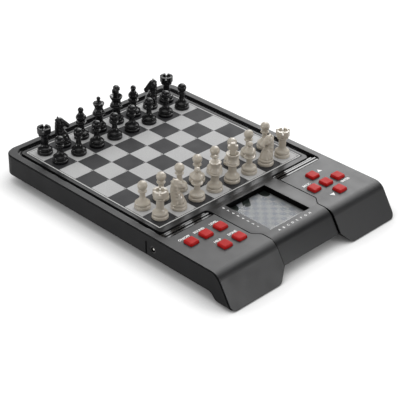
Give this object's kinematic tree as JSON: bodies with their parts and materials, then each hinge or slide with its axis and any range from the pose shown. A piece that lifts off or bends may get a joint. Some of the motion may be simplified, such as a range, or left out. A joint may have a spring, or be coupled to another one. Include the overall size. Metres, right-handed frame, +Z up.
{
  "type": "electronic chess computer",
  "caption": "Tabletop electronic chess computer with a sensor board, two button wings, a recessed display and a full set of chess men standing on their squares.",
  "frame": {"origin": "middle of the case's footprint, on the table", "axes": "+X to the player's right, +Y away from the player towards the far edge, +Z up"},
  "size_m": [0.239, 0.3346, 0.0763],
  "materials": {
    "case": "fine satin grain",
    "channel": "satin black",
    "board": "printed film, satin",
    "film": "amber film",
    "window": "clear",
    "display": "grey-green liquid crystal",
    "circuit": "green lacquer",
    "rubber": "matt",
    "speaker": "paper cone",
    "inlet": "matt black",
    "cells": "sleeved",
    "steel": "plated",
    "button": "satin red",
    "white_men": "glossy ivory grey",
    "black_men": "glossy black"
  },
  "bodies": {
    "case": {"lower_case": "case", "outer_cover": "case", "console_deck": "case", "channel_frame": "channel", "board_sheet": "board", "sensor_sheet": "film", "display_window": "window", "display_module": "display", "main_board": "circuit", "key_boards": "circuit", "dome_mats": "rubber", "loudspeaker": "speaker", "dc_inlet": "inlet", "battery_cells": "cells", "battery_contacts": "steel", "case_screws": "steel", "rubber_feet": "rubber"},
    "battery_door": {"battery_door": "case"},
    "button_on_off": {"button_on_off": "button"},
    "button_sound": {"button_sound": "button"},
    "button_level": {"button_level": "button"},
    "button_help": {"button_help": "button"},
    "button_done": {"button_done": "button"},
    "button_back": {"button_back": "button"},
    "button_left": {"button_left": "button"},
    "button_enter": {"button_enter": "button"},
    "button_right": {"button_right": "button"},
    "button_front": {"button_front": "button"},
    "white_pawn_a": {"white_pawn_a": "white_men"},
    "white_pawn_b": {"white_pawn_b": "white_men"},
    "white_pawn_c": {"white_pawn_c": "white_men"},
    "white_pawn_d": {"white_pawn_d": "white_men"},
    "white_pawn_e": {"white_pawn_e": "white_men"},
    "white_pawn_f": {"white_pawn_f": "white_men"},
    "white_pawn_g": {"white_pawn_g": "white_men"},
    "white_pawn_h": {"white_pawn_h": "white_men"},
    "black_pawn_a": {"black_pawn_a": "black_men"},
    "black_pawn_b": {"black_pawn_b": "black_men"},
    "black_pawn_c": {"black_pawn_c": "black_men"},
    "black_pawn_d": {"black_pawn_d": "black_men"},
    "black_pawn_e": {"black_pawn_e": "black_men"},
    "black_pawn_f": {"black_pawn_f": "black_men"},
    "black_pawn_g": {"black_pawn_g": "black_men"},
    "black_pawn_h": {"black_pawn_h": "black_men"},
    "white_rook_a": {"white_rook_a": "white_men"},
    "white_knight_b": {"white_knight_b": "white_men"},
    "white_bishop_c": {"white_bishop_c": "white_men"},
    "white_queen_d": {"white_queen_d": "white_men"},
    "white_king_e": {"white_king_e": "white_men"},
    "white_bishop_f": {"white_bishop_f": "white_men"},
    "white_knight_g": {"white_knight_g": "white_men"},
    "white_rook_h": {"white_rook_h": "white_men"},
    "black_rook_a": {"black_rook_a": "black_men"},
    "black_knight_b": {"black_knight_b": "black_men"},
    "black_bishop_c": {"black_bishop_c": "black_men"},
    "black_queen_d": {"black_queen_d": "black_men"},
    "black_king_e": {"black_king_e": "black_men"},
    "black_bishop_f": {"black_bishop_f": "black_men"},
    "black_knight_g": {"black_knight_g": "black_men"},
    "black_rook_h": {"black_rook_h": "black_men"}
  },
  "joints": [
    {"name": "press_on_off", "type": "slide", "parent": "case", "child": "button_on_off", "axis": [0, 0, -1], "range_m": [0, 0.0012], "stiffness_N_per_m": 400, "springref_m": -0.001},
    {"name": "press_sound", "type": "slide", "parent": "case", "child": "button_sound", "axis": [0, 0, -1], "range_m": [0, 0.0012], "stiffness_N_per_m": 400, "springref_m": -0.001},
    {"name": "press_level", "type": "slide", "parent": "case", "child": "button_level", "axis": [0, 0, -1], "range_m": [0, 0.0012], "stiffness_N_per_m": 400, "springref_m": -0.001},
    {"name": "press_help", "type": "slide", "parent": "case", "child": "button_help", "axis": [0, 0, -1], "range_m": [0, 0.0012], "stiffness_N_per_m": 400, "springref_m": -0.001},
    {"name": "press_done", "type": "slide", "parent": "case", "child": "button_done", "axis": [0, 0, -1], "range_m": [0, 0.0012], "stiffness_N_per_m": 400, "springref_m": -0.001},
    {"name": "press_back", "type": "slide", "parent": "case", "child": "button_back", "axis": [0, 0, -1], "range_m": [0, 0.0012], "stiffness_N_per_m": 400, "springref_m": -0.001},
    {"name": "press_left", "type": "slide", "parent": "case", "child": "button_left", "axis": [0, 0, -1], "range_m": [0, 0.0012], "stiffness_N_per_m": 400, "springref_m": -0.001},
    {"name": "press_enter", "type": "slide", "parent": "case", "child": "button_enter", "axis": [0, 0, -1], "range_m": [0, 0.0012], "stiffness_N_per_m": 400, "springref_m": -0.001},
    {"name": "press_right", "type": "slide", "parent": "case", "child": "button_right", "axis": [0, 0, -1], "range_m": [0, 0.0012], "stiffness_N_per_m": 400, "springref_m": -0.001},
    {"name": "press_front", "type": "slide", "parent": "case", "child": "button_front", "axis": [0, 0, -1], "range_m": [0, 0.0012], "stiffness_N_per_m": 400, "springref_m": -0.001},
    {"name": "battery_door_off", "type": "slide", "parent": "case", "child": "battery_door", "axis": [0, 0, -1], "range_m": [0, 0.01]},
    {"name": "lift_white_pawn_a", "type": "slide", "parent": "case", "child": "white_pawn_a", "axis": [0, 0, 1], "range_m": [0, 0.06]},
    {"name": "lift_white_pawn_b", "type": "slide", "parent": "case", "child": "white_pawn_b", "axis": [0, 0, 1], "range_m": [0, 0.06]},
    {"name": "lift_white_pawn_c", "type": "slide", "parent": "case", "child": "white_pawn_c", "axis": [0, 0, 1], "range_m": [0, 0.06]},
    {"name": "lift_white_pawn_d", "type": "slide", "parent": "case", "child": "white_pawn_d", "axis": [0, 0, 1], "range_m": [0, 0.06]},
    {"name": "lift_white_pawn_e", "type": "slide", "parent": "case", "child": "white_pawn_e", "axis": [0, 0, 1], "range_m": [0, 0.06]},
    {"name": "lift_white_pawn_f", "type": "slide", "parent": "case", "child": "white_pawn_f", "axis": [0, 0, 1], "range_m": [0, 0.06]},
    {"name": "lift_white_pawn_g", "type": "slide", "parent": "case", "child": "white_pawn_g", "axis": [0, 0, 1], "range_m": [0, 0.06]},
    {"name": "lift_white_pawn_h", "type": "slide", "parent": "case", "child": "white_pawn_h", "axis": [0, 0, 1], "range_m": [0, 0.06]},
    {"name": "lift_black_pawn_a", "type": "slide", "parent": "case", "child": "black_pawn_a", "axis": [0, 0, 1], "range_m": [0, 0.06]},
    {"name": "lift_black_pawn_b", "type": "slide", "parent": "case", "child": "black_pawn_b", "axis": [0, 0, 1], "range_m": [0, 0.06]},
    {"name": "lift_black_pawn_c", "type": "slide", "parent": "case", "child": "black_pawn_c", "axis": [0, 0, 1], "range_m": [0, 0.06]},
    {"name": "lift_black_pawn_d", "type": "slide", "parent": "case", "child": "black_pawn_d", "axis": [0, 0, 1], "range_m": [0, 0.06]},
    {"name": "lift_black_pawn_e", "type": "slide", "parent": "case", "child": "black_pawn_e", "axis": [0, 0, 1], "range_m": [0, 0.06]},
    {"name": "lift_black_pawn_f", "type": "slide", "parent": "case", "child": "black_pawn_f", "axis": [0, 0, 1], "range_m": [0, 0.06]},
    {"name": "lift_black_pawn_g", "type": "slide", "parent": "case", "child": "black_pawn_g", "axis": [0, 0, 1], "range_m": [0, 0.06]},
    {"name": "lift_black_pawn_h", "type": "slide", "parent": "case", "child": "black_pawn_h", "axis": [0, 0, 1], "range_m": [0, 0.06]},
    {"name": "lift_white_rook_a", "type": "slide", "parent": "case", "child": "white_rook_a", "axis": [0, 0, 1], "range_m": [0, 0.06]},
    {"name": "lift_white_knight_b", "type": "slide", "parent": "case", "child": "white_knight_b", "axis": [0, 0, 1], "range_m": [0, 0.06]},
    {"name": "lift_white_bishop_c", "type": "slide", "parent": "case", "child": "white_bishop_c", "axis": [0, 0, 1], "range_m": [0, 0.06]},
    {"name": "lift_white_queen_d", "type": "slide", "parent": "case", "child": "white_queen_d", "axis": [0, 0, 1], "range_m": [0, 0.06]},
    {"name": "lift_white_king_e", "type": "slide", "parent": "case", "child": "white_king_e", "axis": [0, 0, 1], "range_m": [0, 0.06]},
    {"name": "lift_white_bishop_f", "type": "slide", "parent": "case", "child": "white_bishop_f", "axis": [0, 0, 1], "range_m": [0, 0.06]},
    {"name": "lift_white_knight_g", "type": "slide", "parent": "case", "child": "white_knight_g", "axis": [0, 0, 1], "range_m": [0, 0.06]},
    {"name": "lift_white_rook_h", "type": "slide", "parent": "case", "child": "white_rook_h", "axis": [0, 0, 1], "range_m": [0, 0.06]},
    {"name": "lift_black_rook_a", "type": "slide", "parent": "case", "child": "black_rook_a", "axis": [0, 0, 1], "range_m": [0, 0.06]},
    {"name": "lift_black_knight_b", "type": "slide", "parent": "case", "child": "black_knight_b", "axis": [0, 0, 1], "range_m": [0, 0.06]},
    {"name": "lift_black_bishop_c", "type": "slide", "parent": "case", "child": "black_bishop_c", "axis": [0, 0, 1], "range_m": [0, 0.06]},
    {"name": "lift_black_queen_d", "type": "slide", "parent": "case", "child": "black_queen_d", "axis": [0, 0, 1], "range_m": [0, 0.06]},
    {"name": "lift_black_king_e", "type": "slide", "parent": "case", "child": "black_king_e", "axis": [0, 0, 1], "range_m": [0, 0.06]},
    {"name": "lift_black_bishop_f", "type": "slide", "parent": "case", "child": "black_bishop_f", "axis": [0, 0, 1], "range_m": [0, 0.06]},
    {"name": "lift_black_knight_g", "type": "slide", "parent": "case", "child": "black_knight_g", "axis": [0, 0, 1], "range_m": [0, 0.06]},
    {"name": "lift_black_rook_h", "type": "slide", "parent": "case", "child": "black_rook_h", "axis": [0, 0, 1], "range_m": [0, 0.06]}
  ]
}
